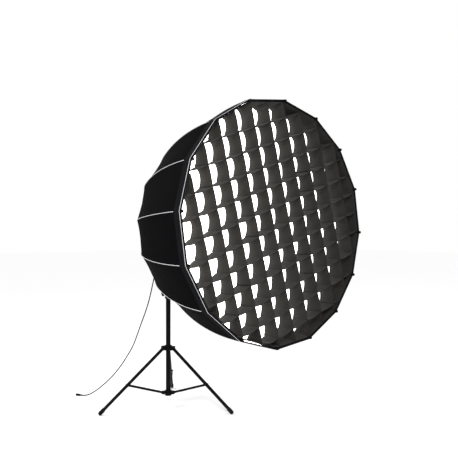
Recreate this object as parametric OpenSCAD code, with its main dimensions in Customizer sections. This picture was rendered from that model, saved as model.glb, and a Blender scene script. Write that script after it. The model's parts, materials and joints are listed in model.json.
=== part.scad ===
// Deep sixteen-sided octabox with a fabric grid, on a monolight, tilt yoke and folding light stand.
// Millimetres, +Z up, floor at z = 0. The softbox faces -Y.
// The origin is on the floor, in the middle of the footprint of everything but the mains cord.

/* [Softbox] */
// Radius of the rim at its corners
rim_radius = 750; // [740:1:760]
// Depth from the rim to the hub
box_depth = 950; // [940:1:960]
// Radius of the circle that the rod hinges lie on
hub_radius = 100; // [98:1:102]
// Turn of the rim about the softbox axis, in degrees
box_spin = -4.5; // [-11:0.5:11]
// Angle between a rod and the softbox axis at the rim
rod_start = 3; // [2:0.5:4]
// Angle between a rod and the softbox axis where its bend tightens
rod_bend = 25; // [24:1:26]
// Radius of a fibreglass rod
rod_radius = 4; // [3:0.5:4.5]
// Thickness of the shell fabric
shell_wall = 1; // [0.8:0.1:1.2]

/* [Grid] */
// Step between the grid's columns, measured along its rows
column_step = 134.6; // [120:0.1:140]
// Step between the grid's rows, measured along its columns
row_step = 123.1; // [110:0.1:130]
// Turn of the grid's rows in the face, in degrees
row_turn = 18; // [10:1:20]
// Lean of the grid's columns in the face, in degrees
column_lean = 13; // [10:1:20]
// Depth of the grid's walls
grid_depth = 130; // [80:1:130]
// Thickness of a grid wall
grid_wall = 0.8; // [0.6:0.1:1.2]

/* [Lamp] */
// Height of the tilt axis above the floor
pivot_height = 1273; // [1260:1:1300]
// How far the softbox looks up, in degrees
tilt = 2; // [0:0.5:4]
// Distance from the tilt axis to the rod hinge plane
hub_ahead = 192.5; // [190:0.5:200]
// Width of the lamp casing
casing_w = 124; // [110:1:126]
// Height of the lamp casing
casing_h = 130; // [110:1:134]
// Length of the lamp casing
casing_l = 230; // [220:1:240]

/* [Stand] */
// Radius of the circle that the feet stand on
foot_circle = 520; // [500:1:540]
// Direction of the first leg, in degrees from +X
leg_turn = 51; // [0:1:119]
// Height of the leg hinges
collar_z = 415; // [405:1:425]
// Height of the brace hinges
hub_z = 95; // [90:1:100]
// Radius of the outer column tube
column_r = 17; // [16:0.5:17]
// Height of the top of the outer column tube
column_top = 790; // [785:1:800]
// Radius of a leg tube
leg_r = 11.5; // [10:0.5:11.5]

/* [Cord] */
// Radius of the mains cord
cord_r = 4; // [3.5:0.5:4]

/* [Hidden] */
rib_count = 16;
rib_step = 360 / rib_count;
RIBS = [for (k = [1 : rib_count]) str("rib_", k < 10 ? "0" : "", k)];

gap = 0.3; // between neighbours that move
fit = 0.08; // radial clearance of a running fit
$fn = 48;

// Rod outline: two arcs that meet smoothly, drawn in a plane through the softbox axis.
// A point is [distance from the axis, distance behind the rim].
cos_turn = cos(rod_start) - cos(rod_bend);
sin_turn = sin(rod_bend) - sin(rod_start);
bend_rest = 1 - sin(rod_bend);
rod_in = rim_radius - hub_radius;
arc_det = cos_turn * bend_rest - cos(rod_bend) * sin_turn;
front_arc = (rod_in * bend_rest - box_depth * cos(rod_bend)) / arc_det;
back_arc = (cos_turn * box_depth - sin_turn * rod_in) / arc_det;
front_centre = [rim_radius - front_arc * cos(rod_start), -front_arc * sin(rod_start)];
bend_at = front_centre + front_arc * [cos(rod_bend), sin(rod_bend)];
back_centre = bend_at - back_arc * [cos(rod_bend), sin(rod_bend)];
function outline(angle, inset) = angle < rod_bend
    ? front_centre + (front_arc - inset) * [cos(angle), sin(angle)]
    : back_centre + (back_arc - inset) * [cos(angle), sin(angle)];

// Softbox layout along its axis, measured forward from the tilt axis
rim_u = hub_ahead + box_depth;
rod_inset = 8;
hinge_u = hub_ahead + rod_inset;
plate_front = hub_ahead - 2;
plate_t = 6;
plate_r = 118;
sleeve_r = 60;
cap_len = 14;
cap_r = 8;
sleeve_tip_r = 5.2;
cloth_corner = 722;
cloth_back = grid_depth + 6;
grid_crossing = [-48, -40];
shell_hole = 124;
inner_cloth_s = 450;
inner_cloth_corner = 645;

// Stand layout
hinge_r = 40;
foot_r = 14;
leg_run = foot_circle - hinge_r;
leg_drop = collar_z - foot_r;
leg_len = sqrt(leg_run * leg_run + leg_drop * leg_drop);
leg_angle = atan2(leg_run, leg_drop);
brace_at = 0.58 * leg_len;
brace_run = brace_at * sin(leg_angle);
brace_rise = collar_z - brace_at * cos(leg_angle) - hub_z;
brace_len = sqrt(brace_run * brace_run + brace_rise * brace_rise);
brace_angle = atan2(brace_rise, brace_run);
strip_in = 16;
strip_t = 3;
riser_1_r = 14;
riser_1_low = 340;
riser_1_top = 1050;
riser_2_r = 10;
riser_2_low = 500;
riser_2_top = 1085;
spigot_r = 8;
spigot_top = 1150;
socket_low = 1093;
umbrella_z = 1130;
umbrella_r = 4.1; // an 8 mm umbrella shaft with clearance
yoke_floor = 1152;
yoke_half = 78;
arm_t = 5;

// Lamp layout along the softbox axis, measured forward from the tilt axis
casing_front = 100;
casing_rear = casing_front - casing_l;
casing_wall = 3;
barrel_r = 55;
barrel_front = 138;
collar_front = 156;
insert_rear = 156.3;
insert_front = 194;
lock_u = 168.5;
gland_v = -40;

// The footprint's middle is the origin, so the stand's axis is this far behind it
front_reach = (rim_u + cap_len) * cos(tilt)
    + ((rim_radius - rod_inset) * cos(box_spin) + cap_r) * sin(tilt);
back_reach = foot_circle * sin(leg_turn) + foot_r;
stand_y = (front_reach - back_reach) / 2;

// Mains cord: points on its centreline, measured from the stand's axis at the floor
CORD_ROUTE = [
    [0, 152, 1228], [0, 168, 1226], [1, 182, 1213], [3, 190, 1190], [6, 194, 1140],
    [9, 194, 1070], [9, 189, 1000], [6, 186, 930], [-8, 192, 850], [-26, 206, 750],
    [-48, 222, 660], [-71, 240, 580], [-92, 268, 485], [-111, 298, 400], [-136, 337, 323],
    [-164, 379, 249], [-195, 425, 181], [-226, 472, 125], [-257, 520, 76], [-287, 565, 37],
    [-314, 605, 12], [-334, 632, 6], [-346, 646, 6]
];
PLUG_END = [-376, 681, 10];

module stand_frame() {
    translate([0, stand_y, 0]) children();
}

module leg_frame(index) {
    stand_frame() rotate([0, 0, leg_turn + 120 * (index - 1)]) children();
}

// Local +Z runs along the softbox axis to the front, and local +Y is up
module lamp_frame() {
    translate([0, stand_y, pivot_height]) rotate([90 - tilt, 0, 0]) children();
}

module rib_frame(index) {
    lamp_frame() rotate([0, 0, box_spin + rib_step * (index - 1)]) children();
}

module tube(outer, inner, low, high) {
    translate([0, 0, low]) difference() {
        cylinder(r = outer, h = high - low);
        translate([0, 0, -1]) cylinder(r = inner, h = high - low + 2);
    }
}

// A straight pin across the radial direction, centred on the local Y axis
module cross_pin(radius, length) {
    rotate([90, 0, 0]) cylinder(r = radius, h = length, center = true);
}

// A clamping screw along local +X with a three-lobed knob
module clamp_knob(start, stem, head) {
    translate([start, 0, 0]) rotate([0, 90, 0]) {
        cylinder(r = 4, h = stem);
        translate([0, 0, stem]) {
            cylinder(r = head * 0.62, h = 14);
            for (a = [0 : 120 : 240])
                rotate([0, 0, a]) translate([head * 0.55, 0, 0]) cylinder(r = head * 0.42, h = 14);
        }
    }
}

module rounded_plate(width, height, corner) {
    square([width - 2 * corner, height], center = true);
    square([width, height - 2 * corner], center = true);
    for (x = [-1, 1])
        for (y = [-1, 1])
            translate([x * (width / 2 - corner), y * (height / 2 - corner)]) circle(r = corner);
}

function ring_point(radius, k) = radius * [cos(k * rib_step), sin(k * rib_step)];

module sixteen_sided(radius) {
    polygon([for (k = [0 : rib_count - 1]) ring_point(radius, k)]);
}

// ---------- stand ----------

module column_tube() {
    color([0.05, 0.05, 0.055]) stand_frame() tube(column_r, column_r - 2, 78, column_top);
}

module bottom_hub() {
    color([0.04, 0.04, 0.045]) {
        stand_frame() {
            tube(24, column_r + 0.02, hub_z - 20, hub_z + 12);
            translate([0, 0, hub_z - 24]) cylinder(r = 24, h = 4);
        }
        for (i = [1 : 3])
            leg_frame(i) translate([0, 0, hub_z]) {
                difference() {
                    translate([23, -12, -11]) cube([26, 24, 22]);
                    translate([hinge_r, 0, 0]) cross_pin(3.02, 30);
                }
                translate([hinge_r, 0, 0]) cross_pin(3, 44);
            }
    }
}

module clamp_body(outer, tube_r, rod_r, low, seat, high, stem_z) {
    difference() {
        translate([0, 0, low]) cylinder(r = outer, h = high - low);
        translate([0, 0, low - 1]) cylinder(r = tube_r + 0.02, h = seat - low + 1);
        translate([0, 0, seat - 1]) cylinder(r = rod_r + fit, h = high - seat + 2);
        translate([0, 0, stem_z]) rotate([0, 90, 0]) cylinder(r = 4 + fit, h = outer + 40);
    }
    difference() {
        translate([rod_r + 4, 0, stem_z]) rotate([0, 90, 0]) cylinder(r = 9, h = outer + 4 - rod_r);
        translate([0, 0, stem_z]) rotate([0, 90, 0]) cylinder(r = 4 + fit, h = outer + 40);
        translate([0, 0, low - 1]) cylinder(r = outer - 1, h = high - low + 2);
    }
}

module column_clamp() {
    color([0.04, 0.04, 0.045]) stand_frame() rotate([0, 0, 110])
        clamp_body(24, column_r, riser_1_r, column_top - 18, column_top, column_top + 26, column_top + 13);
}

module column_clamp_knob() {
    color([0.03, 0.03, 0.03]) stand_frame() rotate([0, 0, 110])
        translate([0, 0, column_top + 13]) clamp_knob(riser_1_r + 0.5, 24, 16);
}

module leg_collar() {
    color([0.04, 0.04, 0.045]) {
        stand_frame() difference() {
            translate([0, 0, collar_z - 17]) cylinder(r = 27, h = 35);
            translate([0, 0, collar_z - 18]) cylinder(r = column_r + fit, h = 37);
            rotate([0, 0, leg_turn + 60]) translate([0, 0, collar_z]) rotate([0, 90, 0])
                cylinder(r = 4 + fit, h = 40);
        }
        for (i = [1 : 3])
            leg_frame(i) translate([0, 0, collar_z]) {
                for (side = [-1, 1])
                    difference() {
                        translate([24, side * 15 - 2, -14]) cube([26, 4, 28]);
                        translate([hinge_r, 0, 0]) cross_pin(3.02, 40);
                        translate([0, 0, -20]) cylinder(r = 26, h = 40);
                    }
                translate([hinge_r, 0, 0]) cross_pin(3, 38);
            }
    }
}

module leg_collar_knob() {
    color([0.03, 0.03, 0.03]) stand_frame() rotate([0, 0, leg_turn + 60])
        translate([0, 0, collar_z]) clamp_knob(column_r + 0.5, 20, 16);
}

// Points the local +Z axis down along a leg, from its hinge
module along_leg(index) {
    leg_frame(index) translate([hinge_r, 0, collar_z]) rotate([0, 180 - leg_angle, 0]) children();
}

module leg(index) {
    color([0.05, 0.05, 0.055]) along_leg(index) {
        difference() {
            union() {
                cross_pin(11, 25);
                translate([0, 0, 2]) cylinder(r = leg_r, h = leg_len - 6);
                translate([0, 0, brace_at]) cross_pin(6, 2 * strip_in - 0.8);
            }
            cross_pin(3 + fit, 30);
            translate([0, 0, 20]) cylinder(r = leg_r - 1.5, h = brace_at - 40);
            translate([0, 0, brace_at + 20]) cylinder(r = leg_r - 1.5, h = leg_len);
        }
    }
}

module foot(index) {
    color([0.02, 0.02, 0.02]) along_leg(index) difference() {
        union() {
            translate([0, 0, leg_len - 34]) cylinder(r = foot_r, h = 34);
            translate([0, 0, leg_len]) sphere(r = foot_r);
        }
        translate([0, 0, leg_len - 40]) cylinder(r = leg_r + 0.02, h = 36.02);
    }
}

module brace(index) {
    color([0.05, 0.05, 0.055]) leg_frame(index) translate([hinge_r, 0, hub_z])
        rotate([0, -brace_angle, 0]) {
            for (side = [-1, 1]) {
                difference() {
                    translate([0, side * (strip_in + strip_t / 2), 0]) {
                        translate([0, -strip_t / 2, -6.5]) cube([brace_len, strip_t, 13]);
                        cross_pin(6.5, strip_t);
                        translate([brace_len, 0, 0]) cross_pin(6.5, strip_t);
                    }
                    cross_pin(3 + fit, 60);
                }
                translate([brace_len, side * (strip_in + strip_t + 1), 0]) cross_pin(5, 2);
            }
        }
}

module riser_1() {
    color([0.06, 0.06, 0.065]) stand_frame() tube(riser_1_r, riser_1_r - 2, riser_1_low, riser_1_top);
}

module riser_1_clamp() {
    color([0.04, 0.04, 0.045]) stand_frame() rotate([0, 0, 50])
        clamp_body(20, riser_1_r, riser_2_r, riser_1_top - 14, riser_1_top, riser_1_top + 22, riser_1_top + 11);
}

module riser_1_knob() {
    color([0.03, 0.03, 0.03]) stand_frame() rotate([0, 0, 50])
        translate([0, 0, riser_1_top + 11]) clamp_knob(riser_2_r + 0.5, 22, 16);
}

module riser_2() {
    color([0.06, 0.06, 0.065]) stand_frame() {
        tube(riser_2_r, riser_2_r - 2, riser_2_low, riser_2_top);
        translate([0, 0, riser_2_top]) cylinder(r = 13, h = 6);
        translate([0, 0, riser_2_top + 6]) cylinder(r = spigot_r, h = spigot_top - riser_2_top - 6);
    }
}

// ---------- yoke and lamp ----------

module yoke_bracket() {
    color([0.05, 0.05, 0.055]) stand_frame() {
        difference() {
            union() {
                translate([0, 0, socket_low]) cylinder(r = 21, h = yoke_floor - socket_low);
                translate([-yoke_half, -16, yoke_floor]) cube([2 * yoke_half, 32, arm_t]);
                // Block beside the socket that takes an umbrella shaft
                translate([-34, -14, umbrella_z - 10]) cube([24, 28, 24]);
            }
            translate([-27, 0, umbrella_z]) rotate([90, 0, 0]) cylinder(r = umbrella_r, h = 30, center = true);
            translate([0, 0, socket_low - 1]) cylinder(r = spigot_r + fit, h = yoke_floor - socket_low);
            translate([0, 0, socket_low + 30]) rotate([0, 90, 0]) cylinder(r = 4 + fit, h = 40);
        }
        for (side = [-1, 1])
            difference() {
                union() {
                    translate([side * (yoke_half - arm_t / 2) - arm_t / 2, -16, yoke_floor + arm_t])
                        cube([arm_t, 32, pivot_height - yoke_floor - arm_t]);
                    translate([side * (yoke_half - arm_t / 2), 0, pivot_height]) rotate([0, 90, 0])
                        cylinder(r = 16, h = arm_t, center = true);
                }
                translate([side * yoke_half, 0, pivot_height]) rotate([0, 90, 0])
                    cylinder(r = 5 + fit, h = 20, center = true);
            }
    }
}

module yoke_knob() {
    color([0.03, 0.03, 0.03]) stand_frame()
        translate([0, 0, socket_low + 30]) clamp_knob(spigot_r + 0.5, 26, 16);
}

module tilt_bolts() {
    color([0.3, 0.3, 0.32]) lamp_frame() for (side = [-1, 1])
        rotate([0, side * 90, 0]) {
            translate([0, 0, casing_w / 2 + 0.2]) cylinder(r = 14, h = yoke_half - arm_t - casing_w / 2 - 0.5);
            translate([0, 0, casing_w / 2 + 0.2]) cylinder(r = 5, h = yoke_half - casing_w / 2 + 3);
        }
}

module tilt_knob() {
    color([0.03, 0.03, 0.03]) lamp_frame() rotate([0, 90, 0]) translate([0, 0, yoke_half + gap]) {
        difference() {
            cylinder(r = 12, h = 16);
            translate([0, 0, -1]) cylinder(r = 5 + fit, h = 6);
        }
        translate([-5, -30, 6]) cube([10, 30, 8]);
        translate([0, -30, 6]) cylinder(r = 7, h = 8);
    }
}

module lamp_casing() {
    color([0.06, 0.06, 0.065]) lamp_frame() translate([0, 0, casing_rear])
        linear_extrude(height = casing_l) difference() {
            rounded_plate(casing_w, casing_h, 16);
            rounded_plate(casing_w - 2 * casing_wall, casing_h - 2 * casing_wall, 16 - casing_wall);
        }
}

module rear_cover() {
    color([0.04, 0.04, 0.045]) lamp_frame() difference() {
        translate([0, 0, casing_rear - 6]) linear_extrude(height = 6) difference() {
            rounded_plate(casing_w, casing_h, 16);
            for (row = [-4 : 4])
                translate([-34, row * 6 + 26]) rounded_plate(46, 3, 1.4);
        }
        translate([0, gland_v, casing_rear - 7]) cylinder(r = 8 + 0.02, h = 8);
        translate([30, 34, casing_rear - 7]) cylinder(r = 5.4, h = 8);
        translate([22.5, -3.5, casing_rear - 7]) cube([15, 21, 8]);
    }
}

module heat_sink() {
    color([0.35, 0.35, 0.37]) lamp_frame() {
        translate([-50, -50, 88]) cube([100, 100, 8]);
        for (i = [-6 : 6])
            translate([i * 8 - 1, -50, 28]) cube([2, 100, 60]);
    }
}

module fan_rotor() {
    color([0.1, 0.1, 0.1]) lamp_frame() translate([0, 0, 4]) {
        cylinder(r = 14, h = 14);
        for (a = [0 : 7])
            rotate([0, 0, a * 45]) translate([12, 0, 7]) rotate([35, 0, 0])
                translate([0, -9, -1]) cube([30, 18, 1.6]);
    }
}

module led_module() {
    color([0.85, 0.75, 0.25]) lamp_frame() translate([0, 0, 96.2]) {
        cylinder(r = 30, h = 3);
        translate([0, 0, 3]) cylinder(r = 17, h = 1.2);
    }
}

module front_barrel() {
    color([0.06, 0.06, 0.065]) lamp_frame() {
        translate([0, 0, casing_front]) linear_extrude(height = 6) difference() {
            rounded_plate(casing_w, casing_h, 16);
            circle(r = 34);
        }
        tube(barrel_r, barrel_r - 3, casing_front + 6, barrel_front);
    }
}

module bayonet_collar() {
    color([0.55, 0.55, 0.57]) lamp_frame() difference() {
        translate([0, 0, barrel_front]) cylinder(r = 74, h = collar_front - barrel_front);
        translate([0, 0, barrel_front - 1]) cylinder(r = 50, h = 20 + collar_front - barrel_front);
        translate([55, -6.3, barrel_front + 4]) cube([30, 12.6, 10]);
    }
}

module bayonet_latch() {
    color([0.6, 0.1, 0.08]) lamp_frame() translate([64, -6, barrel_front + 4.3]) cube([18, 12, 9.4]);
}

module mount_insert() {
    color([0.5, 0.5, 0.52]) lamp_frame() {
        tube(73, 50, insert_rear, insert_rear + 6);
        tube(sleeve_r, 52, insert_rear + 6, insert_front - 3);
        tube(70, 52, insert_front - 3, insert_front);
    }
}

module power_switch() {
    color([0.02, 0.02, 0.02]) lamp_frame() translate([30, 7, casing_rear - 8])
        rotate([6, 0, 0]) translate([-7, -9, 0]) cube([14, 18, 6]);
}

module brightness_dial() {
    color([0.03, 0.03, 0.03]) lamp_frame() translate([30, 34, casing_rear - 22]) {
        difference() {
            cylinder(r = 11, h = 14);
            translate([-1, 8, -1]) cube([2, 4, 3]);
        }
        translate([0, 0, 14]) cylinder(r = 5.4 - fit, h = 12);
    }
}

// ---------- softbox ----------

module hub_ring() {
    color([0.3, 0.3, 0.32]) {
        lamp_frame() difference() {
            union() {
                translate([0, 0, plate_front - plate_t]) cylinder(r = plate_r, h = plate_t);
                translate([0, 0, insert_rear + 6 + gap])
                    cylinder(r = 76, h = plate_front - plate_t - insert_rear - 6 - gap);
            }
            translate([0, 0, insert_rear]) cylinder(r = sleeve_r + fit, h = 60);
            translate([0, 0, lock_u]) rotate([90, 0, 0]) cylinder(r = 4 + fit, h = 100);
        }
        for (k = [1 : rib_count])
            rib_frame(k) translate([hub_radius, 0, 0]) {
                for (side = [-1, 1])
                    difference() {
                        translate([-7, side * 6.8 - 1.5, plate_front]) cube([14, 3, 16]);
                        translate([0, 0, hinge_u]) cross_pin(2.52, 30);
                    }
                translate([0, 0, hinge_u]) cross_pin(2.5, 18);
            }
    }
}

module hub_lock_knob() {
    color([0.03, 0.03, 0.03]) lamp_frame() translate([0, 0, lock_u]) rotate([0, 0, -90])
        clamp_knob(sleeve_r + 0.6, 36, 16);
}

// A bowed fibreglass rod, its hinge knuckle and the pocket that caps it at the rim
module rod_arc(centre, radius, from, to) {
    translate([centre[0], 0, rim_u - centre[1]]) rotate([-90, 0, 0]) rotate([0, 0, from])
        rotate_extrude(angle = to - from) translate([radius, 0]) circle(r = rod_radius);
}

module rib(index) {
    color([0.07, 0.07, 0.075]) rib_frame(index) {
        rod_arc(front_centre, front_arc - rod_inset, rod_start, rod_bend);
        difference() {
            union() {
                rod_arc(back_centre, back_arc - rod_inset, rod_bend, 90);
                translate([hub_radius, 0, hinge_u]) cross_pin(6, 10);
            }
            translate([hub_radius, 0, hinge_u]) cross_pin(2.5 + fit, 30);
        }
        translate([rim_radius - rod_inset, 0, rim_u]) cylinder(r = sleeve_tip_r, h = 2);
        translate([rim_radius - rod_inset, 0, rim_u + gap]) cylinder(r = cap_r, h = cap_len - gap);
        difference() {
            translate([rim_radius - rod_inset, 0, rim_u - 18]) cylinder(r = sleeve_tip_r, h = 18);
            rod_arc(front_centre, front_arc - rod_inset, rod_start - 1, rod_bend);
        }
    }
}

// The shell is one skin of flat gores between the rods. Each station is an angle on the rod outline.
shell_end = acos((shell_hole - back_centre[0]) / back_arc);
SHELL_STATIONS = concat(
    [for (i = [0 : 5]) rod_start + (rod_bend - rod_start) * i / 6],
    [for (i = [0 : 9]) rod_bend + (shell_end - rod_bend) * i / 9]
);

module shell() {
    n = len(SHELL_STATIONS);
    points = [
        for (inset = [0, shell_wall])
            for (a = SHELL_STATIONS)
                for (k = [0 : rib_count - 1])
                    let (p = outline(a, inset))
                        concat(ring_point(p[0], k), [rim_u - p[1]])
    ];
    function at(layer, i, k) = (layer * n + i) * rib_count + (k % rib_count);
    skins = [
        for (layer = [0, 1])
            for (i = [0 : n - 2])
                for (k = [0 : rib_count - 1])
                    for (half = [0, 1])
                        let (a = at(layer, i, k), b = at(layer, i + 1, k))
                            let (c = at(layer, i + 1, k + 1), d = at(layer, i, k + 1))
                                let (t = half == 0 ? [a, b, c] : [a, c, d])
                                    layer == 0 ? [t[2], t[1], t[0]] : t
    ];
    edges = [
        for (end = [0, 1])
            for (k = [0 : rib_count - 1])
                for (half = [0, 1])
                    let (i = end * (n - 1))
                        let (a = at(0, i, k), b = at(1, i, k), c = at(1, i, k + 1), d = at(0, i, k + 1))
                            let (t = half == 0 ? [a, b, c] : [a, c, d])
                                end == 0 ? t : [t[2], t[1], t[0]]
    ];
    color([0.035, 0.035, 0.04]) lamp_frame() rotate([0, 0, box_spin])
        polyhedron(points = points, faces = concat(skins, edges), convexity = 6);
}

module cloth_disc(corner, behind, thick) {
    lamp_frame() rotate([0, 0, box_spin]) translate([0, 0, rim_u - behind - thick])
        linear_extrude(height = thick) sixteen_sided(corner);
}

module inner_diffuser() {
    color([0.95, 0.95, 0.95]) cloth_disc(inner_cloth_corner, inner_cloth_s, 1);
}

module front_diffuser() {
    color([0.97, 0.97, 0.97]) cloth_disc(cloth_corner, cloth_back, 1);
}

module grid() {
    cells = ceil(rim_radius / row_step);
    along_row = [cos(row_turn), sin(row_turn)];
    along_column = [-sin(column_lean), cos(column_lean)];
    color([0.12, 0.12, 0.13]) lamp_frame() translate([0, 0, rim_u - grid_depth - 3])
        linear_extrude(height = grid_depth) {
            intersection() {
                rotate([0, 0, box_spin]) sixteen_sided(cloth_corner - 0.5);
                translate(grid_crossing) for (i = [-cells : cells]) {
                    translate(i * column_step * along_row) rotate([0, 0, column_lean])
                        square([grid_wall, 4 * rim_radius], center = true);
                    translate(i * row_step * along_column) rotate([0, 0, row_turn])
                        square([4 * rim_radius, grid_wall], center = true);
                }
            }
            rotate([0, 0, box_spin]) difference() {
                sixteen_sided(cloth_corner);
                sixteen_sided(cloth_corner - 1.2);
            }
        }
}

// ---------- mains cord ----------

module cord_gland() {
    color([0.03, 0.03, 0.03]) lamp_frame() translate([0, gland_v, 0]) {
        translate([0, 0, casing_rear - 16]) cylinder(r = 11, h = 10);
        translate([0, 0, casing_rear - 6]) cylinder(r = 8, h = 6);
    }
}

// Rings of a tube of CORD_SIDES sides round a smooth curve through the route's points
CORD_SIDES = 8;
RINGS_PER_SPAN = 3;
function route(i) = CORD_ROUTE[max(0, min(len(CORD_ROUTE) - 1, i))];
function curve(i, t) =
    let (a = route(i - 1), b = route(i), c = route(i + 1), d = route(i + 2))
        (2 * b + t * (c - a) + t * t * (2 * a - 5 * b + 4 * c - d)
            + t * t * t * (3 * b - a - 3 * c + d)) / 2;
CORD_LINE = concat(
    [for (i = [0 : len(CORD_ROUTE) - 2]) for (j = [0 : RINGS_PER_SPAN - 1]) curve(i, j / RINGS_PER_SPAN)],
    [CORD_ROUTE[len(CORD_ROUTE) - 1]]
);

function unit(v) = v / norm(v);

module mains_cord() {
    last = len(CORD_LINE) - 1;
    heading = [
        for (i = [0 : last]) unit(CORD_LINE[min(last, i + 1)] - CORD_LINE[max(0, i - 1)])
    ];
    points = [
        for (i = [0 : last])
            let (side = unit(cross([0.8, 0.6, 0], heading[i])))
                let (over = cross(heading[i], side))
                    for (k = [0 : CORD_SIDES - 1])
                        let (a = k * 360 / CORD_SIDES)
                            CORD_LINE[i] + cord_r * (cos(a) * side + sin(a) * over)
    ];
    walls = [
        for (i = [0 : last - 1])
            for (k = [0 : CORD_SIDES - 1])
                for (half = [0, 1])
                    let (a = i * CORD_SIDES + k, b = i * CORD_SIDES + (k + 1) % CORD_SIDES)
                        half == 0 ? [a, b, b + CORD_SIDES] : [a, b + CORD_SIDES, a + CORD_SIDES]
    ];
    first_end = [for (k = [0 : CORD_SIDES - 1]) CORD_SIDES - 1 - k];
    last_end = [for (k = [0 : CORD_SIDES - 1]) last * CORD_SIDES + k];
    color([0.03, 0.03, 0.03]) stand_frame()
        polyhedron(points = points, faces = concat(walls, [first_end, last_end]), convexity = 10);
}

module cord_plug() {
    from = CORD_ROUTE[len(CORD_ROUTE) - 1];
    way = PLUG_END - from;
    turn = atan2(way[1], way[0]);
    dip = atan2(way[2], norm([way[0], way[1]]));
    color([0.03, 0.03, 0.03]) stand_frame() translate(from) rotate([0, 90 - dip, turn]) {
        cylinder(r = 5.5, h = 12);
        translate([0, 0, 12]) cylinder(r = 8.5, h = norm(way) - 12);
    }
}

for (i = [1 : 3]) {
    leg(i);
    foot(i);
    brace(i);
}
for (k = [1 : rib_count]) {
    rib(k);
}
column_tube();
bottom_hub();
column_clamp();
column_clamp_knob();
leg_collar();
leg_collar_knob();
riser_1();
riser_1_clamp();
riser_1_knob();
riser_2();
yoke_bracket();
yoke_knob();
tilt_bolts();
tilt_knob();
lamp_casing();
rear_cover();
heat_sink();
fan_rotor();
led_module();
front_barrel();
bayonet_collar();
bayonet_latch();
mount_insert();
power_switch();
brightness_dial();
hub_ring();
hub_lock_knob();
shell();
inner_diffuser();
front_diffuser();
grid();
cord_gland();
mains_cord();
cord_plug();
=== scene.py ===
import json
import math

import bpy
import numpy as np
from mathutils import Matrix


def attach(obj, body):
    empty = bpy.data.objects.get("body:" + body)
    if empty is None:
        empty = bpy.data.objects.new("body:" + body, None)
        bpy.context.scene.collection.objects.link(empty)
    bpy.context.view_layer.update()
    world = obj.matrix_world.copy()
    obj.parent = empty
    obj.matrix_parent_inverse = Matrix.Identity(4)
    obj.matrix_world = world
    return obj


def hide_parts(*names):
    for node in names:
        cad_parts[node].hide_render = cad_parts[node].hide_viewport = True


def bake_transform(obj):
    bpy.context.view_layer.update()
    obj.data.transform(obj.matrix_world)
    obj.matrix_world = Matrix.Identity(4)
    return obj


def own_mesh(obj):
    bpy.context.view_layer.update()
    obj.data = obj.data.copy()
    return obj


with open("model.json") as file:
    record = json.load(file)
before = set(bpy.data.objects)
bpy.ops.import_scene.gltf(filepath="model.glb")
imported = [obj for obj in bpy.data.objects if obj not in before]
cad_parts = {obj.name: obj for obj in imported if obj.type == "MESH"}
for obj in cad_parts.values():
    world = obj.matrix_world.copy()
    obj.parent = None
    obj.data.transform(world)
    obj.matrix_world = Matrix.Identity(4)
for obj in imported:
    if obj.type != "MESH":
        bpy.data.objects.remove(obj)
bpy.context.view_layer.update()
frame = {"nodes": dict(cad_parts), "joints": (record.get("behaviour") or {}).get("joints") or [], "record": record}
JOINTS = {j["name"]: j for j in frame["joints"]}

# ---------- places, worked out from the frame ----------

RIBS = 16
PIVOT = np.array(JOINTS["lamp_tilt"]["pos_m"])
AXIS = np.array(JOINTS["box_spin"]["axis"])
SIDE = np.array([1.0, 0.0, 0.0])
UP = np.cross(AXIS, SIDE)
STAND_Y = JOINTS["yoke_pan"]["pos_m"][1]
first_hinge = np.array(JOINTS["rod_fold_01"]["pos_m"]) - PIVOT
SPIN = math.atan2(first_hinge @ UP, first_hinge @ SIDE)
HUB_R = math.hypot(first_hinge @ UP, first_hinge @ SIDE)
ROD_INSET = 0.008
HUB_U = first_hinge @ AXIS - ROD_INSET

# The rod outline of the CAD model: two arcs from the rim back to the hub
RIM_R = 0.75
RIM_U = 1.1425
DEPTH = RIM_U - HUB_U
START = math.radians(3)
BEND = math.radians(25)
c_turn = math.cos(START) - math.cos(BEND)
s_turn = math.sin(BEND) - math.sin(START)
rest = 1 - math.sin(BEND)
arc_det = c_turn * rest - math.cos(BEND) * s_turn
FRONT_ARC = ((RIM_R - HUB_R) * rest - DEPTH * math.cos(BEND)) / arc_det
BACK_ARC = (c_turn * DEPTH - s_turn * (RIM_R - HUB_R)) / arc_det
FRONT_C = np.array([RIM_R - FRONT_ARC * math.cos(START), -FRONT_ARC * math.sin(START)])
BACK_C = FRONT_C + (FRONT_ARC - BACK_ARC) * np.array([math.cos(BEND), math.sin(BEND)])


def outline(angle, inset=0.0):
    """Distance from the axis and distance behind the rim, at an angle along the rod outline."""
    centre, radius = (FRONT_C, FRONT_ARC) if angle < BEND else (BACK_C, BACK_ARC)
    return centre + (radius - inset) * np.array([math.cos(angle), math.sin(angle)])


def place(side, up, u):
    """A point of the softbox, from its distances to the side, up, and forward of the tilt axis."""
    side, up, u = np.broadcast_arrays(side, up, u)
    return PIVOT + side[..., None] * SIDE + up[..., None] * UP + u[..., None] * AXIS


def rib_angle(k):
    return SPIN + k * 2 * math.pi / RIBS


def radial(angle):
    return math.cos(angle) * SIDE + math.sin(angle) * UP


# ---------- camera, floor and light ----------

CAMERA_AT = (-2.849, STAND_Y - 3.950, 1.277)
CAMERA_TURN = -41.0
CAMERA_LENS = 52.5
FLOOR_HALF = 30
# name, place, aim, size in metres, power in watts
LIGHTS = [
    ("key", (-3.5, -4.5, 3.4), (0, -0.4, 1.2), 1.6, 240),
    ("fill", (4.5, -3.0, 2.6), (0, -0.4, 1.0), 2.5, 20),
    ("rim", (-2.0, 4.0, 3.5), (0, 0.2, 1.0), 2.0, 90),
]


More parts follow.
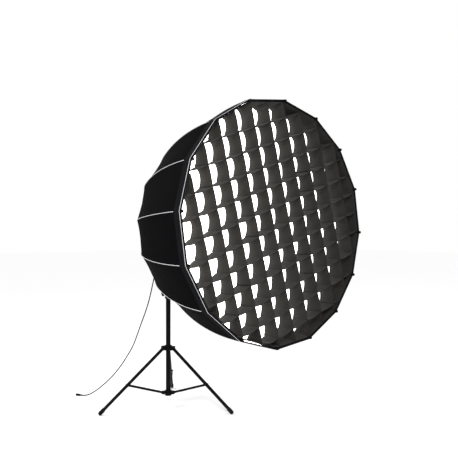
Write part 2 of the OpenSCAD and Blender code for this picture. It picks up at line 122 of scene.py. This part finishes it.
def make_camera():
    data = bpy.data.cameras.new("camera")
    data.lens = CAMERA_LENS
    data.sensor_width = 36
    camera = bpy.data.objects.new("camera", data)
    camera.location = CAMERA_AT
    camera.rotation_euler = (math.radians(90), 0, math.radians(CAMERA_TURN))
    bpy.context.scene.collection.objects.link(camera)
    bpy.context.scene.camera = camera


def area_light(name, place_at, aim, size, power):
    data = bpy.data.lights.new(name, "AREA")
    data.shape = "DISK"
    data.size = size
    data.energy = power
    light = bpy.data.objects.new(name, data)
    light.location = place_at
    direction = np.array(aim, float) - np.array(place_at, float)
    yaw = math.atan2(direction[1], direction[0])
    dip = math.atan2(math.hypot(direction[0], direction[1]), -direction[2])
    light.rotation_euler = (dip, 0, yaw - math.pi / 2)
    bpy.context.scene.collection.objects.link(light)


def make_stage():
    near, far = -FLOOR_HALF, FLOOR_HALF
    corners = [[[near, near, 0], [far, near, 0]], [[near, far, 0], [far, far, 0]]]
    floor = grid_mesh("floor", np.array(corners, float))
    floor.data.materials.append(plain("floor_pale", (0.97, 0.97, 0.97), 0.95))
    world = bpy.data.worlds.new("studio")
    world.use_nodes = True
    world.node_tree.nodes["Background"].inputs[0].default_value = (1, 1, 1, 1)
    world.node_tree.nodes["Background"].inputs[1].default_value = 1.0
    bpy.context.scene.world = world
    bpy.context.scene.view_settings.view_transform = "Standard"
    for light in LIGHTS:
        area_light(*light)


# ---------- meshes ----------

TINY = 1e-12
ASKEW = (0.31, 0.52, 0.79)  # a direction that no tube or turned piece points along


def link(name, mesh):
    piece = bpy.data.objects.new(name, mesh)
    bpy.context.scene.collection.objects.link(piece)
    return piece


def grid_mesh(name, points):
    """A plain open sheet through a grid of points."""
    m, n = points.shape[:2]
    faces = [
        (i * n + j, i * n + j + 1, (i + 1) * n + j + 1, (i + 1) * n + j)
        for i in range(m - 1)
        for j in range(n - 1)
    ]
    mesh = bpy.data.meshes.new(name)
    mesh.from_pydata(points.reshape(-1, 3).tolist(), [], faces)
    return link(name, mesh)


def surface_normals(points):
    """Outward unit normals of a grid of points that closes round the box's axis."""
    along = np.gradient(points, axis=0)
    across = np.roll(points, -1, axis=1) - np.roll(points, 1, axis=1)
    normal = np.cross(along, across)
    normal /= np.maximum(np.linalg.norm(normal, axis=2, keepdims=True), TINY)
    return normal if normal[0, 0] @ radial(rib_angle(0)) >= 0 else -normal


class Sheets:
    """Collects closed thin sheets into one mesh with smooth normals and a UV map in metres."""

    def __init__(self):
        self.points, self.faces, self.normals, self.slots, self.uvs = [], [], [], [], []
        self.area = self.wide = self.long = 0.0

    def add(self, outer, normal, thick, uv, inner_slot=0, edge_slot=0):
        m, n = outer.shape[:2]
        base = sum(len(p) for p in self.points)
        inner = outer - thick * normal
        self.points += [outer.reshape(-1, 3), inner.reshape(-1, 3)]
        for corner, way in ((outer[:-1, :-1], 1), (outer[1:, 1:], -1)):
            one = outer[1:, :-1] - corner
            two = outer[:-1, 1:] - corner
            self.area += np.linalg.norm(np.cross(one, two), axis=2).sum() / 2
        self.wide += np.linalg.norm(np.diff(outer, axis=1), axis=2).sum(axis=1).max()
        self.long = max(self.long, np.linalg.norm(np.diff(outer, axis=0), axis=2).sum(axis=0).max())
        flat_uv = np.concatenate([uv.reshape(-1, 2)] * 2)
        both = np.concatenate([outer.reshape(-1, 3), inner.reshape(-1, 3)])
        smooth = np.concatenate([normal.reshape(-1, 3), -normal.reshape(-1, 3)])
        test = np.cross(outer[1, 0] - outer[0, 0], outer[0, 1] - outer[0, 0]) @ normal[0, 0]
        order = 1 if test > 0 else -1

        def face(corners, slot, edge):
            corners = corners[::order]
            self.faces.append([base + c for c in corners])
            self.slots.append(slot)
            self.uvs += [flat_uv[c] for c in corners]
            if edge:
                flat = np.cross(both[corners[1]] - both[corners[0]], both[corners[2]] - both[corners[0]])
                flat = flat / max(np.linalg.norm(flat), TINY)
                self.normals += [flat] * 4
            else:
                self.normals += [smooth[c] for c in corners]

        k = m * n
        for i in range(m - 1):
            for j in range(n - 1):
                a, b, c, d = i * n + j, (i + 1) * n + j, (i + 1) * n + j + 1, i * n + j + 1
                face([a, b, c, d], 0, False)
                face([k + d, k + c, k + b, k + a], inner_slot, False)
        for i in range(m - 1):
            a, b = i * n, (i + 1) * n
            face([a, k + a, k + b, b], edge_slot, True)
            a, b = a + n - 1, b + n - 1
            face([b, k + b, k + a, a], edge_slot, True)
        for j in range(n - 1):
            a, b = j, j + 1
            face([b, k + b, k + a, a], edge_slot, True)
            a, b = (m - 1) * n + j, (m - 1) * n + j + 1
            face([a, k + a, k + b, b], edge_slot, True)

    def build(self, name, *materials):
        mesh = bpy.data.meshes.new(name)
        mesh.from_pydata(np.concatenate(self.points).tolist(), [], self.faces)
        for material in materials:
            mesh.materials.append(material)
        mesh.polygons.foreach_set("material_index", self.slots)
        mesh.polygons.foreach_set("use_smooth", [True] * len(self.faces))
        layer = mesh.uv_layers.new(name="cloth")
        layer.data.foreach_set("uv", np.array(self.uvs, np.float32).ravel())
        mesh.normals_split_custom_set(np.array(self.normals, float).tolist())
        return link(name, mesh)


def ring_faces(rings, sides):
    """Faces of a closed round piece made of rings of points."""
    faces = [
        (i * sides + j, i * sides + (j + 1) % sides, (i + 1) * sides + (j + 1) % sides, (i + 1) * sides + j)
        for i in range(rings - 1)
        for j in range(sides)
    ]
    return [*faces, tuple(range(sides))[::-1], tuple((rings - 1) * sides + j for j in range(sides))]


def round_mesh(name, points, rings, sides):
    faces = ring_faces(rings, sides)
    mesh = bpy.data.meshes.new(name)
    mesh.from_pydata([p.tolist() for p in points], [], faces)
    mesh.polygons.foreach_set("use_smooth", [True] * len(faces))
    return link(name, mesh)


def tube_mesh(name, path, radius, sides):
    """A round tube through the points of a path."""
    path = np.array(path, float)
    way = np.gradient(path, axis=0)
    way /= np.linalg.norm(way, axis=1, keepdims=True)
    side = np.cross(way[0], ASKEW)
    points = []
    for i in range(len(path)):
        side = side - (side @ way[i]) * way[i]
        side /= np.linalg.norm(side)
        over = np.cross(way[i], side)
        for a in np.arange(sides) * 2 * math.pi / sides:
            points.append(path[i] + radius * (math.cos(a) * side + math.sin(a) * over))
    return round_mesh(name, points, len(path), sides)


def lathe_mesh(name, start, way, profile, sides=24):
    """A turned piece: profile points are (distance along way, radius)."""
    way = np.array(way, float) / np.linalg.norm(way)
    side = np.cross(way, ASKEW)
    side /= np.linalg.norm(side)
    over = np.cross(way, side)
    points = [
        np.array(start) + along * way + radius * (math.cos(a) * side + math.sin(a) * over)
        for along, radius in profile
        for a in np.arange(sides) * 2 * math.pi / sides
    ]
    return round_mesh(name, points, len(profile), sides)


# ---------- materials ----------


def plain(name, colour, roughness, **sockets):
    material = bpy.data.materials.new(name)
    material.use_nodes = True
    shader = material.node_tree.nodes["Principled BSDF"]
    shader.inputs["Base Color"].default_value = (*colour, 1)
    shader.inputs["Roughness"].default_value = roughness
    for socket, value in sockets.items():
        shader.inputs[socket].default_value = value
    return material


class Nodes:
    """Short calls that add and join nodes in one material."""

    def __init__(self, material):
        self.tree = material.node_tree
        self.shader = self.tree.nodes["Principled BSDF"]

    def add(self, kind, inputs=None, **settings):
        node = self.tree.nodes.new(kind)
        for key, value in settings.items():
            setattr(node, key, value)
        for key, value in (inputs or {}).items():
            if isinstance(value, bpy.types.NodeSocket):
                self.tree.links.new(value, node.inputs[key])
            else:
                node.inputs[key].default_value = value
        return node

    def to_shader(self, socket, value):
        self.tree.links.new(value, self.shader.inputs[socket])

    def mix(self, factor, low, high):
        node = self.add("ShaderNodeMix", data_type="RGBA")
        node.inputs[0].default_value = 0
        self.tree.links.new(factor, node.inputs[0])
        node.inputs[6].default_value = (*low, 1)
        node.inputs[7].default_value = (*high, 1)
        return node.outputs[2]

    def ramp(self, value, low, high):
        ends = {"From Min": 0.0, "From Max": 1.0, "To Min": low, "To Max": high}
        return self.add("ShaderNodeMapRange", {"Value": value, **ends}).outputs["Result"]

    def bump(self, height, strength, distance, after=None):
        node = self.add("ShaderNodeBump", {"Strength": strength, "Distance": distance, "Height": height})
        if after is not None:
            self.tree.links.new(after, node.inputs["Normal"])
        return node.outputs["Normal"]


WAVE_PER_THREAD = 0.314  # the wave texture's scale for threads 1 m apart


def cloth(name, colour, shade, roughness, thread, sheen, bump=0.5, painted_light_side=False, **sockets):
    """Woven cloth: two crossed thread waves on the UV map in metres, mottled by noise.

    The last option paints light in: the cloth turns paler, towards the second colour, on the side of the box that
    faces -X, where more light falls.
    """
    material = plain(name, colour, roughness, **{"Sheen Weight": sheen, "Sheen Roughness": 0.4, **sockets})
    nodes = Nodes(material)
    coordinates = nodes.add("ShaderNodeTexCoord")
    place_at = coordinates.outputs["Object"]
    threads = {
        "Vector": coordinates.outputs["UV"],
        "Scale": WAVE_PER_THREAD / thread,
        "Distortion": 0.4,
        "Detail": 1.0,
    }
    waves = [
        nodes.add("ShaderNodeTexWave", threads, bands_direction=way).outputs["Fac"]
        for way in ("X", "Y")
    ]
    weave = nodes.add("ShaderNodeMath", {0: waves[0], 1: waves[1]}, operation="MULTIPLY").outputs[0]
    spots = nodes.add("ShaderNodeTexNoise", {"Vector": place_at, "Scale": 7.0, "Detail": 5.0}).outputs["Fac"]
    fuzz = nodes.add("ShaderNodeTexNoise", {"Vector": place_at, "Scale": 900.0, "Detail": 2.0}).outputs["Fac"]
    mottle_and_painted_light = spots
    # painted light: a ramp along X lifts the -X side of the cloth towards the paler, warmer colour, on top of the
    # mottle
    if painted_light_side:
        side = nodes.add("ShaderNodeSeparateXYZ", {"Vector": place_at}).outputs["X"]
        ends = {"From Min": -RIM_R, "From Max": RIM_R, "To Min": 0.5, "To Max": 0.0}
        painted_light_ramp = nodes.add("ShaderNodeMapRange", {"Value": side, **ends}).outputs["Result"]
        half = nodes.add("ShaderNodeMath", {0: spots, 1: 0.5}, operation="MULTIPLY").outputs[0]
        mottle_and_painted_light = nodes.add("ShaderNodeMath", {0: half, 1: painted_light_ramp}, operation="ADD").outputs[0]
    nodes.to_shader("Base Color", nodes.mix(mottle_and_painted_light, colour, shade))
    nodes.to_shader("Roughness", nodes.ramp(spots, roughness - 0.08, roughness + 0.08))
    woven = nodes.bump(weave, bump, thread * 0.4)
    nodes.to_shader("Normal", nodes.bump(fuzz, bump * 0.4, thread * 0.3, woven))
    return material


def hard(name, colour, worn, roughness, grain, bump, metallic=0.0, **sockets):
    """Painted, moulded or turned surface: fine grain, broad roughness changes and worn patches."""
    material = plain(name, colour, roughness, Metallic=metallic, **sockets)
    nodes = Nodes(material)
    place_at = nodes.add("ShaderNodeTexCoord").outputs["Object"]
    broad = nodes.add("ShaderNodeTexNoise", {"Vector": place_at, "Scale": 9.0, "Detail": 6.0}).outputs["Fac"]
    fine = nodes.add("ShaderNodeTexNoise", {"Vector": place_at, "Scale": grain, "Detail": 3.0}).outputs["Fac"]
    ends = {"From Min": 0.58, "From Max": 0.75}
    scuffs = nodes.add("ShaderNodeMapRange", {"Value": broad, **ends}).outputs["Result"]
    nodes.to_shader("Base Color", nodes.mix(scuffs, colour, worn))
    nodes.to_shader("Roughness", nodes.ramp(broad, roughness - 0.1, roughness + 0.12))
    nodes.to_shader("Normal", nodes.bump(fine, bump, 0.0006))
    return material


def grey(value):
    return (value, value, value)


MATT = {"Specular IOR Level": 0.002}
SATIN = {"Specular IOR Level": 0.06}
SHELL = cloth(
    "shell_nylon", (0.0022, 0.0022, 0.0025), (0.0040, 0.0040, 0.0045), 0.6, 0.0012, 0.0, 0.35, **MATT
)
SILVER = cloth(
    "silver_lining", (0.62, 0.62, 0.64), (0.75, 0.75, 0.77), 0.32, 0.0012, 0.0, 0.3, Metallic=0.85
)
PIPING = cloth("pale_piping", (0.47, 0.47, 0.48), (0.57, 0.57, 0.58), 0.6, 0.0008, 0.1, 0.5, **MATT)
BINDING = cloth(
    "black_binding", (0.004, 0.004, 0.005), (0.007, 0.007, 0.008), 0.7, 0.0016, 0.02, 0.5, **MATT
)
# painted light: the grid cloth's second colour is both its mottle and a lit, warmer tone painted onto its -X side
GRID_CLOTH = cloth(
    "grid_cloth", (0.012, 0.012, 0.0125), (0.047, 0.044, 0.039), 0.85, 0.0014, 0.05, 0.5, True, **MATT
)
# painted glow: both diffuser cloths emit light of their own, standing in for the lamp shining through them, and
# light the grid walls with it
PAINTED_GLOW = {"Emission Color": (1.0, 0.985, 0.955, 1), "Emission Strength": 4.0}
WHITE_CLOTH = cloth("white_diffuser", grey(0.86), grey(0.92), 0.8, 0.0010, 0.1, 0.3, **PAINTED_GLOW)
POCKET = hard("pocket_plastic", grey(0.004), grey(0.009), 0.5, 700, 0.2, **MATT)
CORD_RUBBER = hard("cord_rubber", grey(0.0020), grey(0.0045), 0.6, 500, 0.15, **SATIN)

# ---------- softbox shell ----------

GORE_T = [0, 0.03, 0.08, 0.16, 0.26, 0.38, 0.5, 0.62, 0.74, 0.84, 0.92, 0.97]
MID = GORE_T.index(0.5)
SHELL_HOLE = 0.124
END = math.acos((SHELL_HOLE - BACK_C[0]) / BACK_ARC)
STATIONS = [
    *(START + (BEND - START) * i / 22 for i in range(22)),
    *(BEND + (END - BEND) * i / 26 for i in range(27)),
]
SECTION_ENDS = [0, 5, 11, 17, 24, 31, 39, len(STATIONS) - 1]
SHELL_THICK = 0.0012
LAP_DEPTH = 0.0016
GORE_DRAW = 0.009  # how far the middle of a gore is drawn in
GORE_FOLD = 0.0007
DRAW_FROM, DRAW_OVER = 0.03, 0.42  # distances behind the rim where the drawing-in starts and rises


def rib_point(r, k, u):
    """A point on rod line k, from its distance to the axis and its place along the axis."""
    return place(r * math.cos(rib_angle(k)), r * math.sin(rib_angle(k)), u)


def ring_points(r, s):
    """Points round the sixteen-sided box at one station, gore by gore, drawn in between the rods."""
    corners = [rib_point(r, k, RIM_U - s) for k in range(RIBS)]
    rise = min(1.0, max(0.0, (s - DRAW_FROM) / DRAW_OVER))
    draw = GORE_DRAW * (r / RIM_R) * rise * rise * (3 - 2 * rise)
    points = []
    for k in range(RIBS):
        a, b = corners[k], corners[(k + 1) % RIBS]
        inward = -radial(rib_angle(k + 0.5))
        for t in GORE_T:
            crown = 4 * t * (1 - t)
            folds = math.sin(23 * s + 1.7 * k + 9 * t) + 0.6 * math.sin(41 * s - 2.3 * k + 17 * t)
            points.append(a + (b - a) * t + inward * (draw * crown + GORE_FOLD * crown * folds * rise))
    return points


def rib_columns(k):
    """Column numbers of the half gores on both sides of rod k."""
    n = len(GORE_T)
    return [(k * n + j) % (RIBS * n) for j in range(MID - n, MID + 1)]


def tangent(k):
    return radial(rib_angle(k) + math.pi / 2)


def fold_with_rod(piece, k):
    """Rides on rod k, with a mesh of its own."""
    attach(piece, f"rib_{k + 1:02d}")
    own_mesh(piece)


def make_shell():
    spots = [outline(a) for a in STATIONS]
    points = np.array([ring_points(r, s) for r, s in spots])
    normals = surface_normals(points)
    run = np.concatenate([[0], np.cumsum([np.linalg.norm(b - a) for a, b in zip(spots, spots[1:])])])
    for k in range(RIBS):
        columns = rib_columns(k)
        across = (points[:, columns] - points[:, [k * len(GORE_T)]]) @ tangent(k)
        uv = np.stack([across, np.repeat(run[:, None], len(columns), 1)], axis=2)
        for j in range(len(SECTION_ENDS) - 1):
            # a lap runs on under the next section, so that no slit opens between them
            last = j == len(SECTION_ENDS) - 2
            rows = slice(SECTION_ENDS[j], SECTION_ENDS[j + 1] + (1 if last else 2))
            patch, out = points[rows][:, columns].copy(), normals[rows][:, columns]
            if not last:
                patch[-1] -= LAP_DEPTH * out[-1]
            sheets = Sheets()
            sheets.add(patch, out, SHELL_THICK, uv[rows], 1)
            piece = sheets.build(f"shell_{k + 1:02d}_{j + 1}", SHELL, SILVER)
            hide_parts("shell")
            fold_with_rod(piece, k)


# ---------- rim, piping and rod pockets ----------

BAND_BACK = 0.060
BAND_THICK = 0.0010
PIPING_R = 0.0017
RIM_PIPING_R = 0.0016
# (inset, distance behind the rim): outside of the band, round the front edge and back along the inside
BAND_PROFILE = [
    (-0.0016, BAND_BACK), (-0.0018, 0.03), (-0.0018, 0.002), (0.0, -0.0014), (0.004, -0.0014),
    (0.0058, 0.0), (0.0062, 0.004), (0.0066, 0.016), (0.0070, 0.028),
]
# (distance along the box's axis from the rim, radius)
POCKET_PROFILE = [
    (-0.030, 0.0062), (-0.029, 0.0075), (-0.004, 0.0082), (-0.002, 0.0096), (0.002, 0.0098),
    (0.004, 0.0090), (0.011, 0.0088), (0.014, 0.0072), (0.0155, 0.0040),
]


def make_rim():
    rings = []
    for inset, s in BAND_PROFILE:
        angle = START + max(0.0, s) / FRONT_ARC
        r = outline(angle)[0]
        rings.append(ring_points(r - inset, s))
    points = np.array(rings)
    normals = surface_normals(points)
    for k in range(RIBS):
        columns = rib_columns(k)
        across = (points[:, columns] - points[:, [k * len(GORE_T)]]) @ tangent(k)
        along = np.arange(len(BAND_PROFILE)) * 0.02
        uv = np.stack([across, np.repeat(along[:, None], len(columns), 1)], axis=2)
        sheets = Sheets()
        sheets.add(points[:, columns], normals[:, columns], BAND_THICK, uv)
        piece = sheets.build(f"rim_band_{k + 1:02d}", BINDING)
        fold_with_rod(piece, k)
        edge = np.array(ring_points(RIM_R + 0.0014, 0.0035))[columns]
        piece = tube_mesh(f"rim_piping_{k + 1:02d}", edge, RIM_PIPING_R, 8)
        piece.data.materials.append(PIPING)
        fold_with_rod(piece, k)


def make_piping():
    """A pale cord sewn along each rod seam, from behind the rim band to the hub."""
    first = START + (BAND_BACK + 0.006) / FRONT_ARC
    angles = np.linspace(first, END, 60)
    for k in range(RIBS):
        path = []
        for a in angles:
            r, s = outline(a, -0.0010)
            path.append(rib_point(r, k, RIM_U - s))
        piece = tube_mesh(f"piping_{k + 1:02d}", path, PIPING_R, 10)
        piece.data.materials.append(PIPING)
        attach(piece, f"rib_{k + 1:02d}")


def make_pockets():
    """Moulded caps that hold the rod ends at the rim."""
    for k in range(RIBS):
        at = rib_point(RIM_R - ROD_INSET, k, RIM_U)
        piece = lathe_mesh(f"rim_pocket_{k + 1:02d}", at, AXIS, POCKET_PROFILE)
        piece.data.materials.append(POCKET)
        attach(piece, f"rib_{k + 1:02d}")


# ---------- diffusers ----------

CLOTH_THICK = 0.0008
CLOTH_COLUMNS = 48
CLOTH_SHARES = [0.0, 0.08, 0.2, 0.35, 0.5, 0.65, 0.8, 0.9, 0.96, 1.0]
CLOTH_TIP = 0.02  # share of the first ring that the sectors' tips keep, so that no face is a point


def make_cloth_disc(name, corner, u, sectors, node):
    """A stretched round cloth in sectors that ride on the cloth's own body."""
    step = 2 * math.pi / CLOTH_COLUMNS
    per = CLOTH_COLUMNS // sectors
    centre = place(0, 0, u)
    for k in range(sectors):
        points = []
        for share in CLOTH_SHARES:
            row = []
            for j in range(k * per, (k + 1) * per + 1):
                part = (j % 3) * step - math.pi / RIBS if j % 3 else math.pi / RIBS
                r = corner * math.cos(math.pi / RIBS) / math.cos(part)
                angle = SPIN + j * step
                row.append(place(share * r * math.cos(angle), share * r * math.sin(angle), u))
            points.append(row)
        points = np.array(points)
        points[0] = centre + (points[1] - centre) * CLOTH_TIP
        normals = np.broadcast_to(AXIS, points.shape)
        flat = points - centre
        uv = np.stack([flat @ SIDE, flat @ UP], axis=2)
        sheets = Sheets()
        sheets.add(points, normals, CLOTH_THICK, uv)
        piece = sheets.build(f"{name}_{k + 1:02d}", WHITE_CLOTH)
        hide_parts(node)
        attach(piece, name)
        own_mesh(piece)


# ---------- grid ----------

# The cloth grid hangs a little askew: its columns and rows aren't quite square to each other
COLUMN_STEP = 0.1346
ROW_STEP = 0.1231
COLUMN_TURN = math.radians(103)
ROW_TURN = math.radians(18)
GRID_CROSSING = np.array([-0.048, -0.040])
GRID_FRONT = 0.003
GRID_DEPTH = 0.130
GRID_CORNER = 0.7205
GRID_FLARE = 0.0165
GRID_SECTORS = 24
GRID_THICK = 0.0014
GRID_LINES = 7  # most strips on either side of the crossing
LAST_LINE = 0.69  # a strip further from the axis than this would be a sliver at the rim
END_EASE = 0.05  # length over which a strip's flare comes in at its ends


def flat_way(angle):
    return np.array([math.cos(angle), math.sin(angle)])


def inside_range(offset, way_angle):
    """Where a line in the face, at an offset beside its own direction, crosses the sixteen-sided rim."""
    way = flat_way(way_angle)
    beside = np.array([way[1], -way[0]])
    low, high = -2.0, 2.0
    for k in range(RIBS):
        normal = flat_way(rib_angle(k + 0.5))
        room = GRID_CORNER * math.cos(math.pi / RIBS) - offset * (beside @ normal)
        slope = way @ normal
        if slope > 1e-9:
            high = min(high, room / slope)
        elif slope < -1e-9:
            low = max(low, room / slope)
    return low, high


def make_grid():
    rng = np.random.default_rng(5)
    sectors = [Sheets() for _ in range(GRID_SECTORS)]
    centre = place(0, 0, RIM_U)
    depth = np.linspace(0, 1, 7)

    def add_wall(line, first, last, step, surface):
        count = max(2, int(round((last - first) / (step / 4))))
        cuts = np.linspace(first, last, count + 1)
        for a, b in zip(cuts, cuts[1:]):
            along = np.linspace(a, b, 4)
            nudge = 1e-4
            points = surface(along[None, :], depth[:, None])
            d_along = surface(along[None, :] + nudge, depth[:, None]) - points
            d_depth = surface(along[None, :], depth[:, None] + nudge) - points
            normal = np.cross(d_along, d_depth)
            normal /= np.linalg.norm(normal, axis=2, keepdims=True)
            middle = points[3, 1] - centre
            turn = (math.atan2(middle @ UP, middle @ SIDE) - SPIN) % (2 * math.pi)
            uv = np.stack(np.broadcast_arrays(along[None, :] + line, GRID_DEPTH * depth[:, None]), axis=2)
            sectors[int(turn / (2 * math.pi) * GRID_SECTORS) % GRID_SECTORS].add(
                points + normal * GRID_THICK / 2, normal, GRID_THICK, uv, 0, 1
            )

    for upright in (True, False):
        way, other = (COLUMN_TURN, ROW_TURN) if upright else (ROW_TURN, COLUMN_TURN)
        step, spacing = (ROW_STEP, COLUMN_STEP) if upright else (COLUMN_STEP, ROW_STEP)
        beside = flat_way(way - math.pi / 2)
        for i in range(-GRID_LINES, GRID_LINES + 1):
            crossing = GRID_CROSSING + i * spacing * flat_way(other)
            offset, phase = crossing @ beside, crossing @ flat_way(way)
            if abs(offset) > LAST_LINE:
                continue
            first, last = inside_range(offset, way)
            strength = rng.uniform(0.7, 1.2, 40)
            lean = rng.uniform(-1, 1, 40)

            def surface(along, deep, upright=upright, way=way, offset=offset, phase=phase, step=step,
                        first=first, last=last, strength=strength, lean=lean):
                along, deep = np.broadcast_arrays(along, deep)
                flare = GRID_FLARE * (1 - deep)
                reach = np.clip((along - last) / END_EASE + 1, 0, 1)
                reach = reach - np.clip((first - along) / END_EASE + 1, 0, 1)
                along = along + flare * reach
                cell = (along - phase) / step
                number = np.floor(cell).astype(int)
                part = cell - number
                ends = np.clip(np.minimum(along - first, last - along) / 0.02, 0, 1)
                own = lean[number % 40]
                ahead = centre - (GRID_FRONT + GRID_DEPTH * deep)[..., None] * AXIS
                line = ahead + offset * radial(way - math.pi / 2) + along[..., None] * radial(way)
                if upright:
                    bow = np.sin(math.pi * part**1.2) ** 0.6 * strength[number % 40] * ends
                    shift = 0.004 + 0.025 * deep**1.3 + 0.003 * own * deep
                    return line + (bow * shift)[..., None] * radial(way - math.pi / 2)
                bow = np.sin(math.pi * part) * strength[number % 40] * ends
                shift = 0.008 + 0.008 * deep**1.2 + 0.003 * own * deep
                return line - (bow * shift)[..., None] * UP

            add_wall(offset, first, last, step, surface)
    for k in range(RIBS):
        a, b = (GRID_CORNER * radial(rib_angle(i)) for i in (k, k + 1))
        length = np.linalg.norm(b - a)

        def border(along, deep, a=a, b=b, length=length):
            along, deep = np.broadcast_arrays(along, deep)
            ahead = centre - (GRID_FRONT + GRID_DEPTH * deep)[..., None] * AXIS
            wider = 1 + GRID_FLARE * (1 - deep) / GRID_CORNER
            return ahead + wider[..., None] * (a + (along / length)[..., None] * (b - a))

        add_wall(k * length, 0.0, length, ROW_STEP, border)
    for k, sheets in enumerate(sectors):
        piece = sheets.build(f"grid_{k + 1:02d}", GRID_CLOTH, BINDING)
        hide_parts("grid")
        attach(piece, "grid")
        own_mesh(piece)


# ---------- mains cord ----------

# The route of the CAD model, in metres from the stand's axis at the floor
CORD_ROUTE = [
    (0, 0.152, 1.228), (0, 0.168, 1.226), (0.001, 0.182, 1.213), (0.003, 0.190, 1.190),
    (0.006, 0.194, 1.140), (0.009, 0.194, 1.070), (0.009, 0.189, 1.000), (0.006, 0.186, 0.930),
    (-0.008, 0.192, 0.850), (-0.026, 0.206, 0.750), (-0.048, 0.222, 0.660), (-0.071, 0.240, 0.580),
    (-0.092, 0.268, 0.485), (-0.111, 0.298, 0.400), (-0.136, 0.337, 0.323), (-0.164, 0.379, 0.249),
    (-0.195, 0.425, 0.181), (-0.226, 0.472, 0.125), (-0.257, 0.520, 0.076), (-0.287, 0.565, 0.037),
    (-0.314, 0.605, 0.012), (-0.334, 0.632, 0.006), (-0.346, 0.646, 0.006),
]
PLUG_END = (-0.376, 0.681, 0.010)
CORD_R = 0.004
# (distance along the piece, radius)
PLUG_PROFILE = [
    (0.000, 0.0045), (0.001, 0.0055), (0.006, 0.0056), (0.007, 0.0048), (0.010, 0.0048), (0.011, 0.0066),
    (0.014, 0.0080), (0.030, 0.0082), (0.033, 0.0084), (0.0455, 0.0084), (0.0465, 0.0076),
]
BOOT_PROFILE = [
    (0.000, 0.0100), (0.002, 0.0105), (0.008, 0.0095), (0.014, 0.0075), (0.022, 0.0056), (0.024, 0.0048),
]


def smooth_path(route, per=8):
    """A Catmull-Rom curve through a route's points."""
    p = np.array(route, float)
    ends = np.vstack([2 * p[0] - p[1], p, 2 * p[-1] - p[-2]])
    path = []
    for i in range(1, len(ends) - 2):
        a, b, c, d = ends[i - 1 : i + 3]
        for t in np.arange(per) / per:
            curve = 2 * b + t * (c - a) + t * t * (2 * a - 5 * b + 4 * c - d) + t**3 * (3 * b - a - 3 * c + d)
            path.append(curve / 2)
    return np.array([*path, p[-1]])


def make_cord():
    route = np.array(CORD_ROUTE) + [0, STAND_Y, 0]
    path = smooth_path(route)
    cord = tube_mesh("mains_cord_lead", path, CORD_R, 14)
    cord.data.materials.append(CORD_RUBBER)
    start = route[-1]
    end = np.array(PLUG_END) + [0, STAND_Y, 0]
    plug = lathe_mesh("cord_connector", start, end - start, PLUG_PROFILE)
    plug.data.materials.append(CORD_RUBBER)
    boot = lathe_mesh("cord_boot", route[0] - [0, 0.008, 0], (0, 1, -0.08), BOOT_PROFILE)
    boot.data.materials.append(CORD_RUBBER)
    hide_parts("mains_cord")
    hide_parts("cord_plug")
    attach(plug, "yoke")
    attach(boot, "lamp")
    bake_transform(cord)


# ---------- stand and lamp finishes ----------


def finish_nodes():
    finishes = {
        "stand_metal": hard(
            "stand_paint", (0.0018, 0.0018, 0.0020), grey(0.0045), 0.42, 500, 0.12, **SATIN
        ),
        "cast_black": hard("cast_paint", (0.0020, 0.0020, 0.0022), grey(0.0055), 0.55, 260, 0.35, **SATIN),
        "knob_plastic": hard("knob_plastic", grey(0.0020), grey(0.0050), 0.55, 420, 0.3, **SATIN),
        "foot_rubber": hard("foot_rubber", grey(0.006), (0.016, 0.016, 0.015), 0.85, 300, 0.4, **SATIN),
        "casing_black": hard("casing_paint", (0.012, 0.012, 0.013), (0.022, 0.022, 0.023), 0.4, 800, 0.12),
        "bare_aluminium": hard("bare_metal", (0.32, 0.32, 0.33), (0.42, 0.42, 0.43), 0.35, 200, 0.1, 1.0),
        "steel_bolt": hard("bolt_steel", (0.25, 0.25, 0.26), (0.35, 0.35, 0.36), 0.3, 300, 0.1, 1.0),
        "led_yellow": hard("led_face", (0.75, 0.60, 0.12), (0.80, 0.66, 0.20), 0.4, 600, 0.1),
        "latch_red": hard("latch_plastic", (0.35, 0.03, 0.02), (0.42, 0.05, 0.04), 0.45, 500, 0.15),
        "rod_fibreglass": hard("rod_lacquer", (0.006, 0.006, 0.007), grey(0.012), 0.3, 600, 0.1, **SATIN),
        "cord_rubber": CORD_RUBBER,
    }
    slots = {s["node"]: s["material_slot"] for s in frame["record"]["subparts"]}
    for name, piece in frame["nodes"].items():
        finish = finishes.get(slots[name])
        if finish is not None:
            piece.data.materials.clear()
            piece.data.materials.append(finish)


make_camera()
make_cord()
make_stage()
make_rim()
make_shell()
make_piping()
make_pockets()
make_cloth_disc("front_cloth", 0.7215, RIM_U - 0.136, 24, "front_diffuser")
make_cloth_disc("inner_cloth", 0.645, RIM_U - 0.450, 16, "inner_diffuser")
make_grid()
finish_nodes()
